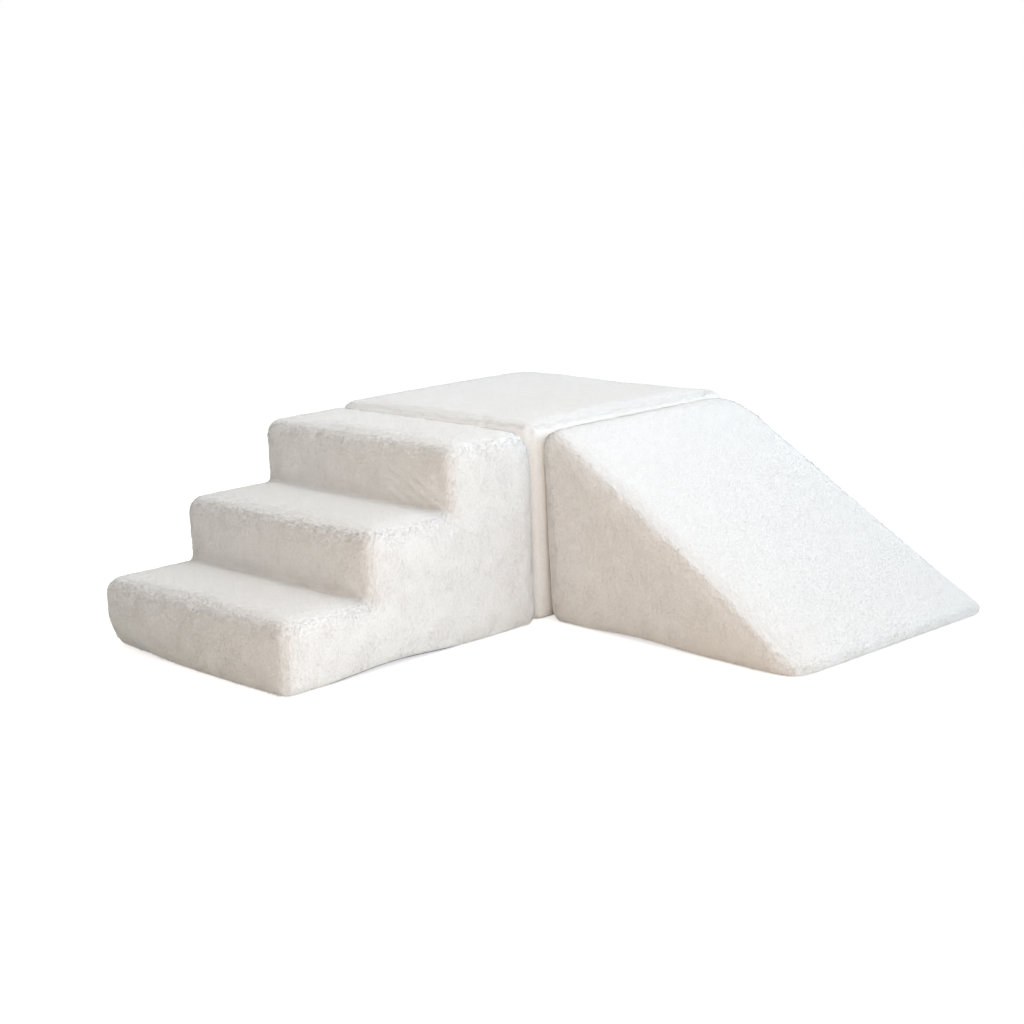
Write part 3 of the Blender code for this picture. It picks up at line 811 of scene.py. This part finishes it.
def new_group(name, inputs, outputs):
    """An empty node group with named sockets."""
    group = bpy.data.node_groups.new(name, "ShaderNodeTree")
    for label, kind, value in inputs:
        socket = group.interface.new_socket(label, in_out="INPUT", socket_type=kind)
        if value is not None:
            socket.default_value = value
    for label, kind in outputs:
        group.interface.new_socket(label, in_out="OUTPUT", socket_type=kind)
    start = group.nodes.new("NodeGroupInput")
    start.location = (-900, 0)
    end = group.nodes.new("NodeGroupOutput")
    end.location = (700, 0)
    return group, start, end


def mottle_group():
    """Two tones that change slowly over cloth or foam."""
    group, start, end = new_group(
        "mottle",
        [("Vector", "NodeSocketVector", None), ("Size", "NodeSocketFloat", 12.0),
         ("Light", "NodeSocketColor", None), ("Dark", "NodeSocketColor", None)],
        [("Colour", "NodeSocketColor"), ("Mask", "NodeSocketFloat")],
    )
    noise = node(group, "ShaderNodeTexNoise", (-600, 100), Detail=5.0, Roughness=0.6)
    ramp = node(group, "ShaderNodeMapRange", (-350, 100), From_Min=0.34, From_Max=0.66)
    mix = node(group, "ShaderNodeMix", (100, 0), data_type="RGBA")
    join = joiner(group)
    join(start, "Vector", noise, "Vector")
    join(start, "Size", noise, "Scale")
    join(noise, "Fac", ramp, "Value")
    join(ramp, "Result", mix, "Factor")
    join(start, "Dark", mix, "A")
    join(start, "Light", mix, "B")
    join(mix, "Result", end, "Colour")
    join(ramp, "Result", end, "Mask")
    return group


def fibre_group():
    """Height of short fibres: fine grain over small clumps."""
    group, start, end = new_group(
        "fibres",
        [("Vector", "NodeSocketVector", None), ("Fine", "NodeSocketFloat", 700.0),
         ("Clumps", "NodeSocketFloat", 220.0), ("Clump share", "NodeSocketFloat", 0.5)],
        [("Height", "NodeSocketFloat")],
    )
    fine = node(group, "ShaderNodeTexNoise", (-600, 150),
                Detail=4.0, Roughness=0.65, Distortion=0.6)
    clumps = node(group, "ShaderNodeTexNoise", (-600, -150),
                  Detail=3.0, Roughness=0.55, Distortion=0.4)
    mix = node(group, "ShaderNodeMix", (0, 0), data_type="FLOAT")
    join = joiner(group)
    for noise, size, into in ((fine, "Fine", "A"), (clumps, "Clumps", "B")):
        join(start, "Vector", noise, "Vector")
        join(start, size, noise, "Scale")
        join(noise, "Fac", mix, into)
    join(start, "Clump share", mix, "Factor")
    join(mix, "Result", end, "Height")
    return group


def weave_group():
    """Crossed yarns: their height, and the hollows between them, which the tape darkens as painted
    shade.
    """
    group, start, end = new_group(
        "weave",
        [("Vector", "NodeSocketVector", None), ("Yarns", "NodeSocketFloat", 900.0)],
        [("Height", "NodeSocketFloat"), ("Hollow", "NodeSocketFloat")],
    )
    join = joiner(group)
    both = node(group, "ShaderNodeMath", (-200, 0), operation="MAXIMUM")
    for at, direction in enumerate(("X", "Z")):
        wave = node(group, "ShaderNodeTexWave", (-600, 200 - 300 * at), wave_type="BANDS",
                    wave_profile="SIN", bands_direction=direction, Distortion=0.4, Detail=1.0)
        join(start, "Vector", wave, "Vector")
        join(start, "Yarns", wave, "Scale")
        join(wave, "Fac", both, at)
    hollow_shade = node(group, "ShaderNodeMath", (50, -150), operation="SUBTRACT")
    hollow_shade.inputs[0].default_value = 1.0
    join(both, "Value", hollow_shade, 1)
    join(both, "Value", end, "Height")
    join(hollow_shade, "Value", end, "Hollow")
    return group


MOTTLE = mottle_group()
FIBRES = fibre_group()
WEAVE = weave_group()


def new_material(name, **values):
    """A material with its shader's plain values and the coordinates of its own object."""
    material = bpy.data.materials.new(name)
    material.use_nodes = True
    tree = material.node_tree
    shader = tree.nodes["Principled BSDF"]
    for label, value in values.items():
        shader.inputs[label.replace("_", " ")].default_value = value
    place = node(tree, "ShaderNodeTexCoord", (-1100, 0))
    return material, tree, shader, place.outputs["Object"]


def use_group(tree, group, at, place, **values):
    """A node group placed in a material with its own values."""
    made = tree.nodes.new("ShaderNodeGroup")
    made.node_tree = group
    made.location = at
    tree.links.new(place, made.inputs["Vector"])
    for name, value in values.items():
        made.inputs[name.replace("_", " ")].default_value = value
    return made


def add_bump(tree, shader, height, strength, distance):
    """Bump from a height."""
    bump = node(tree, "ShaderNodeBump", (-250, -300), Strength=strength, Distance=distance)
    tree.links.new(height, bump.inputs["Height"])
    tree.links.new(bump.outputs["Normal"], shader.inputs["Normal"])


def add_tones(tree, shader, place, size, light, dark):
    """A base colour that changes slowly between two tones."""
    tones = use_group(tree, MOTTLE, (-800, 200), place,
                      Size=size, Light=(*light, 1.0), Dark=(*dark, 1.0))
    tree.links.new(tones.outputs["Colour"], shader.inputs["Base Color"])
    return tones


def plush_material():
    """Off-white short pile. Its colour is painted with slow soft patches of light and shade that
    stand in for pile lying another way, times a fine speckle from white to pale grey.
    """
    material, tree, shader, place = new_material(
        "plush", Roughness=0.92, Sheen_Weight=0.25, Sheen_Roughness=0.6, Specular_IOR_Level=0.15)
    # Painted shade and light: slow patches, lighter and darker, for pile that lies another way.
    painted_nap_shade = use_group(tree, MOTTLE, (-800, 300), place, Size=55.0,
                     Light=(0.955, 0.945, 0.925, 1.0), Dark=(0.935, 0.922, 0.900, 1.0))
    # A fine speckle, white to pale grey, multiplied over the patches.
    small = use_group(tree, MOTTLE, (-800, 0), place, Size=330.0,
                      Light=WHITE, Dark=(0.925, 0.921, 0.913, 1.0))
    mix = node(tree, "ShaderNodeMix", (-400, 200),
               data_type="RGBA", blend_type="MULTIPLY", Factor=1.0)
    join = joiner(tree)
    join(painted_nap_shade, "Colour", mix, "A")
    join(small, "Colour", mix, "B")
    join(mix, "Result", shader, "Base Color")
    pile = use_group(tree, FIBRES, (-800, -300), place, Fine=820.0, Clumps=260.0, Clump_share=0.55)
    add_bump(tree, shader, pile.outputs["Height"], 0.9, 0.0011)
    return material


def foam_material():
    """Cut foam, pale and open-celled."""
    material, tree, shader, place = new_material("foam", Roughness=0.95)
    add_tones(tree, shader, place, 25.0, (0.88, 0.86, 0.80), (0.82, 0.79, 0.70))
    cells = node(tree, "ShaderNodeTexVoronoi", (-800, -250), Scale=900.0)
    tree.links.new(place, cells.inputs["Vector"])
    add_bump(tree, shader, cells.outputs["Distance"], 0.6, 0.0006)
    return material


def base_material():
    """Dark blue-grey non-slip cloth."""
    material, tree, shader, place = new_material("non_slip_base", Roughness=0.8)
    add_tones(tree, shader, place, 40.0, (0.155, 0.165, 0.215), (0.115, 0.122, 0.165))
    weave = use_group(tree, WEAVE, (-800, -200), place, Yarns=260.0)
    add_bump(tree, shader, weave.outputs["Height"], 0.4, 0.0003)
    return material


def tape_material():
    """Woven cream tape, darker in the hollows between its yarns: painted shade."""
    material, tree, shader, place = new_material("zip_tape", Roughness=0.85, Sheen_Weight=0.15)
    weave = use_group(tree, WEAVE, (-800, -200), place, Yarns=420.0)
    # Painted shade: the hollows between the yarns take the darker cream.
    mix = node(tree, "ShaderNodeMix", (-400, 200), data_type="RGBA",
               A=(0.84, 0.82, 0.77, 1.0), B=(0.62, 0.60, 0.55, 1.0))
    join = joiner(tree)
    join(weave, "Hollow", mix, "Factor")
    join(mix, "Result", shader, "Base Color")
    add_bump(tree, shader, weave.outputs["Height"], 0.5, 0.0002)
    return material


def coil_material():
    """Cream nylon, slightly waxy."""
    material, tree, shader, place = new_material(
        "zip_coil", Roughness=0.42, Subsurface_Weight=0.1, Subsurface_Scale=0.001)
    add_tones(tree, shader, place, 300.0, (0.88, 0.86, 0.81), (0.80, 0.78, 0.72))
    return material


def metal_material():
    """Plain nickel with fine brush marks and duller worn patches."""
    material, tree, shader, place = new_material("zip_metal", Roughness=0.35, Metallic=1.0)
    tones = add_tones(tree, shader, place, 500.0, (0.70, 0.70, 0.71), (0.58, 0.58, 0.59))
    dull = node(tree, "ShaderNodeMapRange", (-500, 0), To_Min=0.28, To_Max=0.5)
    join = joiner(tree)
    join(tones, "Mask", dull, "Value")
    join(dull, "Result", shader, "Roughness")
    marks = use_group(tree, FIBRES, (-800, -300), place, Fine=3000.0, Clumps=900.0, Clump_share=0.3)
    add_bump(tree, shader, marks.outputs["Height"], 0.15, 0.0001)
    return material


PLUSH = plush_material()
FOAM = foam_material()
BASE = base_material()
TAPE = tape_material()
COIL = coil_material()
METAL = metal_material()


# Foam, base and zip

def foam_piece(block):
    """The foam block, with the form that it has in its cover."""
    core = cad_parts[f"{block.name}_core"].data.copy()
    source = new_piece(f"{block.name}_foam_start", core)
    mesh = one_skin(source, FOAM_VOXEL)
    bpy.data.objects.remove(source)
    room = points_of(mesh)
    own = block.to_own(room)
    facing = normals_of(mesh)
    own = own + SETTLE[block.name](own)
    dents = 0.0006 * waves(room, 0.03, 41) - FOAM_SUNK
    room = block.to_room(own) + facing * dents[:, None]
    room[:, 2] = np.maximum(room[:, 2], 0.0035)
    set_points(mesh, room)
    mesh.shade_smooth()
    piece = new_piece(f"{block.name}_foam_block", mesh)
    dress(piece, block.name, "foam", FOAM, f"{block.name}_core")


def rounded(x, y, half_width, half_length):
    """A place of a grid, drawn in where the grid's corners are rounded."""
    edge_x, edge_y = half_width - BASE_CORNER, half_length - BASE_CORNER
    past_x, past_y = max(abs(x) - edge_x, 0.0), max(abs(y) - edge_y, 0.0)
    if past_x > 0 and past_y > 0:
        share = max(past_x, past_y) / math.hypot(past_x, past_y)
        x = math.copysign(edge_x + past_x * share, x)
        y = math.copysign(edge_y + past_y * share, y)
    return x, y


def add_dot(builder, x, y):
    """One small dot under the base."""
    outer, inner = [
        [builder.verts.new((x + size * math.cos(turn * 2 * math.pi / DOT_SIDES),
                            y + size * math.sin(turn * 2 * math.pi / DOT_SIDES), level))
         for turn in range(DOT_SIDES)]
        for level, size in DOT_RINGS
    ]
    tip = builder.verts.new((x, y, 0.0))
    for turn in range(DOT_SIDES):
        after = (turn + 1) % DOT_SIDES
        builder.faces.new((outer[after], outer[turn], inner[turn], inner[after]))
        builder.faces.new((inner[after], inner[turn], tip))
    builder.faces.new(outer)


def base_piece(block):
    """The non-slip panel with its rows of small dots underneath."""
    low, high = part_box(f"{block.name}_base_panel")
    half_width = block.half_width - BASE_SHOWN_INSET
    half_length = block.half_length - BASE_SHOWN_INSET
    columns = int(round(2 * half_width / BASE_GRID))
    rows = int(round(2 * half_length / BASE_GRID))
    builder = bmesh.new()
    upper, lower = {}, {}
    for i, x in enumerate(np.linspace(-half_width, half_width, columns + 1)):
        for j, y in enumerate(np.linspace(-half_length, half_length, rows + 1)):
            place = rounded(x, y, half_width, half_length)
            upper[i, j] = builder.verts.new((*place, high.z - low.z))
            lower[i, j] = builder.verts.new((*place, 0.0005))
    for i in range(columns):
        for j in range(rows):
            ring = ((i, j), (i + 1, j), (i + 1, j + 1), (i, j + 1))
            builder.faces.new([upper[at] for at in ring])
            builder.faces.new([lower[at] for at in ring[:1] + ring[:0:-1]])
    rim = [(i, 0) for i in range(columns)] + [(columns, j) for j in range(rows)]
    rim += [(i, rows) for i in range(columns, 0, -1)] + [(0, j) for j in range(rows, 0, -1)]
    for here, there in zip(rim, rim[1:] + rim[:1]):
        builder.faces.new((lower[here], lower[there], upper[there], upper[here]))
    across = int((2 * half_width - 0.03) / BASE_GRID)
    down = int((2 * half_length - 0.03) / BASE_GRID)
    for i in range(across + 1):
        for j in range(down + 1):
            add_dot(builder, (i - across / 2) * BASE_GRID, (j - down / 2) * BASE_GRID)
    mesh = made_mesh(builder, f"{block.name}_base")
    own = points_of(mesh)
    drawn = base_inset(block, own) - BASE_SHOWN_INSET
    own[:, 0] *= 1.0 - drawn / block.half_width
    own[:, 1] *= 1.0 - drawn / block.half_length
    own = own + SETTLE[block.name](own)
    set_points(mesh, block.to_room(own))
    mesh.shade_smooth()
    mesh.set_sharp_from_angle(angle=math.radians(50))
    piece = new_piece(f"{block.name}_base_cloth", mesh)
    dress(piece, block.name, "non_slip_base", BASE, f"{block.name}_base_panel")


def tube(points, radius, sides):
    """A tube along a path, with closed ends, as points and faces."""
    path = np.array(points)
    ahead = np.gradient(path, axis=0)
    ahead /= np.linalg.norm(ahead, axis=1)[:, None]
    reference = np.array((0.0, 0.0, 1.0)) if abs(ahead[0][2]) < 0.9 else np.array((1.0, 0.0, 0.0))
    side = np.cross(ahead, reference)
    weak = np.linalg.norm(side, axis=1) < 0.2
    side[weak] = np.cross(ahead[weak], np.array((1.0, 0.3, 0.0)))
    side /= np.linalg.norm(side, axis=1)[:, None]
    up = np.cross(side, ahead)
    rings = []
    for turn in range(sides):
        angle = 2 * math.pi * turn / sides
        rings.append(path + radius * (math.cos(angle) * side + math.sin(angle) * up))
    verts = np.stack(rings, axis=1).reshape(-1, 3)
    faces = []
    for at in range(len(path) - 1):
        for turn in range(sides):
            after = (turn + 1) % sides
            here, there = at * sides, (at + 1) * sides
            faces.append([here + turn, there + turn, there + after, here + after])
    faces.append(list(range(sides)))
    faces.append([(len(path) - 1) * sides + turn for turn in reversed(range(sides))])
    return verts, faces


def coil_row(block, row):
    """One row of the zip's coil: a flattened spiral whose turns reach between the other row's."""
    node_name = f"{block.name}_zip_coil_{row}"
    low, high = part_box(node_name)
    across, along = block.across, block.along
    length = high[along] - low[along] - 2 * COIL_WIRE
    turns = int(length / COIL_PITCH)
    steps = turns * 10
    phase = 0.0 if row == "upper" else math.pi
    angle = np.arange(steps + 1) / 10 * 2 * math.pi + phase
    depth_middle = (low[across] + high[across]) / 2
    height_middle = (low.z + high.z) / 2
    depth = (high[across] - low[across]) / 2 - COIL_WIRE
    height = (high.z - low.z) / 2 - COIL_WIRE
    path = np.zeros((steps + 1, 3))
    path[:, along] = low[along] + COIL_WIRE + np.arange(steps + 1) / steps * length
    path[:, across] = depth_middle + depth * np.sign(np.sin(angle)) * np.abs(np.sin(angle)) ** 0.8
    path[:, 2] = height_middle + height * np.cos(angle)
    verts, faces = tube(path, COIL_WIRE, 5)
    piece = new_piece(f"{node_name}_spiral", mesh_from(node_name, verts, faces))
    piece.data.shade_smooth()
    dress(piece, block.name, "zip_coil", COIL, node_name)


def tape_stitches(block):
    """The stitches that hold both tapes in the cover's window."""
    across, along = block.across, block.along
    outside = block.centre[across] + block.zip_side * (block.half_width - TAPE_DEPTH + 0.0007)
    half = ZIP_WINDOW / 2 - 0.0016
    verts, faces = [], []
    count = int((block.zip_high[along] - block.zip_low[along] - 0.006) / STITCH_STEP)
    shares = np.linspace(-0.5, 0.5, 5)
    for height in (block.zip_height - half, block.zip_height + half):
        for at in range(count):
            middle = block.zip_low[along] + 0.004 + at * STITCH_STEP
            path = np.zeros((5, 3))
            path[:, along] = middle + shares * STITCH_LENGTH
            path[:, across] = outside + block.zip_side * (0.00022 - 0.0012 * shares ** 2)
            path[:, 2] = height
            some, more = tube(path, STITCH_RADIUS, 5)
            faces.extend([[number + len(verts) for number in face] for face in more])
            verts.extend(some.tolist())
    piece = new_piece(f"{block.name}_zip_stitches", mesh_from("zip_stitches", verts, faces))
    piece.data.shade_smooth()
    dress(piece, block.name, "zip_tape", TAPE)


# Making the set

for block in BLOCKS:
    form = closed_form(block)
    swell(block, form)
    refine(form)
    cut_seams(block, form)
    own = shape_cover(block, form)
    panels = cut_panels(block, form, own)
    bpy.data.objects.remove(form)
    for number, (name, (piece, outer)) in enumerate(panels.items()):
        dress(piece, block.name, "plush", PLUSH, f"{block.name}_{name}")
        pile = pile_piece(block, f"{block.name}_{name}", piece, outer, 70 + number)
        dress(pile, block.name, "plush", PLUSH)
    foam_piece(block)
    base_piece(block)
    for row in ("upper", "lower"):
        coil_row(block, row)
        paint(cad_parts[f"{block.name}_zip_tape_{row}"], TAPE)
    tape_stitches(block)
    for part in ("stop_closed", "stop_open", "slider", "pull"):
        paint(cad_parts[f"{block.name}_zip_{part}"], METAL)


# Floor, light and camera

def seen_rays(tree, x, y):
    """1 for what is seen directly, in a gloss or through glass, and 0 for soft light."""
    rays = node(tree, "ShaderNodeLightPath", (x, y))
    seen = rays.outputs["Is Camera Ray"]
    for kind in ("Is Glossy Ray", "Is Transmission Ray"):
        x += 220
        more = node(tree, "ShaderNodeMath", (x, y), operation="MAXIMUM")
        tree.links.new(seen, more.inputs[0])
        tree.links.new(rays.outputs[kind], more.inputs[1])
        seen = more.outputs["Value"]
    return seen


def floor_piece():
    """A wide pale floor that shows white and keeps the set's shadow."""
    builder = bmesh.new()
    bmesh.ops.create_grid(builder, x_segments=1, y_segments=1, size=FLOOR_HALF)
    piece = new_piece("floor", made_mesh(builder, "floor"))
    material, tree, shader, _ = new_material(
        "pale_floor", Roughness=0.9, Specular_IOR_Level=0.1, Emission_Color=WHITE)
    seen = seen_rays(tree, -900, 500)
    mix = node(tree, "ShaderNodeMix", (-250, 300), data_type="RGBA", A=FLOOR_TONE, B=WHITE)
    glow = node(tree, "ShaderNodeMath", (-250, 600), operation="MULTIPLY")
    glow.inputs[1].default_value = FLOOR_GLOW
    tree.links.new(seen, mix.inputs["Factor"])
    tree.links.new(seen, glow.inputs[0])
    join = joiner(tree)
    join(mix, "Result", shader, "Base Color")
    join(glow, "Value", shader, "Emission Strength")
    piece.data.materials.append(material)


def soft_lamp(name, place, aim, size, power, colour):
    """A round soft lamp that the camera doesn't see."""
    lamp = bpy.data.lights.new(name, "AREA")
    lamp.shape = "DISK"
    lamp.size = size
    lamp.energy = power
    lamp.color = colour
    light = bpy.data.objects.new(name, lamp)
    scene.collection.objects.link(light)
    light.location = place
    light.rotation_euler = (Vector(place) - Vector(aim)).to_track_quat("Z", "Y").to_euler()
    light.visible_camera = False


def studio_light():
    """A warm lamp at the front right, a neutral one above, and soft light from each side."""
    soft_lamp("front_lamp", **FRONT_LAMP)
    soft_lamp("top_lamp", **TOP_LAMP)
    world = bpy.data.worlds.new("studio")
    scene.world = world
    world.use_nodes = True
    tree = world.node_tree
    tree.nodes.clear()
    join = joiner(tree)
    end = node(tree, "ShaderNodeOutputWorld", (800, 0))
    place = node(tree, "ShaderNodeTexCoord", (-1500, 0))
    total = None
    for number, (side, colour) in enumerate(SKY.items()):
        height = -250 * number
        share = node(tree, "ShaderNodeVectorMath", (-1300, height), operation="DOT_PRODUCT")
        share.inputs[1].default_value = side
        join(place, "Generated", share, 0)
        front = node(tree, "ShaderNodeMath", (-1100, height), operation="MAXIMUM")
        front.inputs[1].default_value = 0.0
        join(share, "Value", front, 0)
        squared = node(tree, "ShaderNodeMath", (-900, height), operation="POWER")
        squared.inputs[1].default_value = 2.0
        join(front, "Value", squared, 0)
        tinted = node(tree, "ShaderNodeVectorMath", (-700, height), operation="SCALE")
        tinted.inputs[0].default_value = colour
        join(squared, "Value", tinted, "Scale")
        if total is None:
            total = tinted
        else:
            added = node(tree, "ShaderNodeVectorMath", (-500, height), operation="ADD")
            join(total, "Vector", added, 0)
            join(tinted, "Vector", added, 1)
            total = added
    around = node(tree, "ShaderNodeBackground", (0, 0))
    join(total, "Vector", around, "Color")
    white = node(tree, "ShaderNodeBackground", (0, -200), Color=WHITE)
    mix = node(tree, "ShaderNodeMixShader", (400, 0))
    tree.links.new(seen_rays(tree, -500, 400), mix.inputs[0])
    join(around, "Background", mix, 1)
    join(white, "Background", mix, 2)
    join(mix, "Shader", end, "Surface")


def picture_camera():
    """The camera at the place and angle of the picture."""
    azimuth = math.radians(CAMERA_AZIMUTH)
    elevation = math.radians(CAMERA_ELEVATION)
    roll = math.radians(CAMERA_ROLL)
    right = Vector((math.cos(azimuth), math.sin(azimuth), 0.0))
    back = Vector((
        math.sin(azimuth) * math.cos(elevation),
        -math.cos(azimuth) * math.cos(elevation),
        math.sin(elevation),
    ))
    up = back.cross(right)
    rolled_right = right * math.cos(roll) + up * math.sin(roll)
    rolled_up = up * math.cos(roll) - right * math.sin(roll)
    ahead = (rolled_right * AIM_RIGHT - rolled_up * AIM_DOWN - back * CAMERA_FOCUS).normalized()
    side = (rolled_right - ahead * rolled_right.dot(ahead)).normalized()
    over = side.cross(ahead)
    camera = bpy.data.objects.new("picture_camera", bpy.data.cameras.new("picture_camera"))
    scene.collection.objects.link(camera)
    camera.matrix_world = Matrix((
        (side.x, over.x, -ahead.x, CAMERA_PLACE.x),
        (side.y, over.y, -ahead.y, CAMERA_PLACE.y),
        (side.z, over.z, -ahead.z, CAMERA_PLACE.z),
        (0.0, 0.0, 0.0, 1.0),
    ))
    camera.data.sensor_width = SENSOR_WIDTH
    camera.data.sensor_fit = "HORIZONTAL"
    camera.data.lens = CAMERA_FOCUS / PICTURE_SIZE * SENSOR_WIDTH
    camera.data.clip_start = 0.05
    camera.data.clip_end = 50.0
    scene.camera = camera


floor_piece()
studio_light()
picture_camera()
scene.view_settings.view_transform = "Standard"
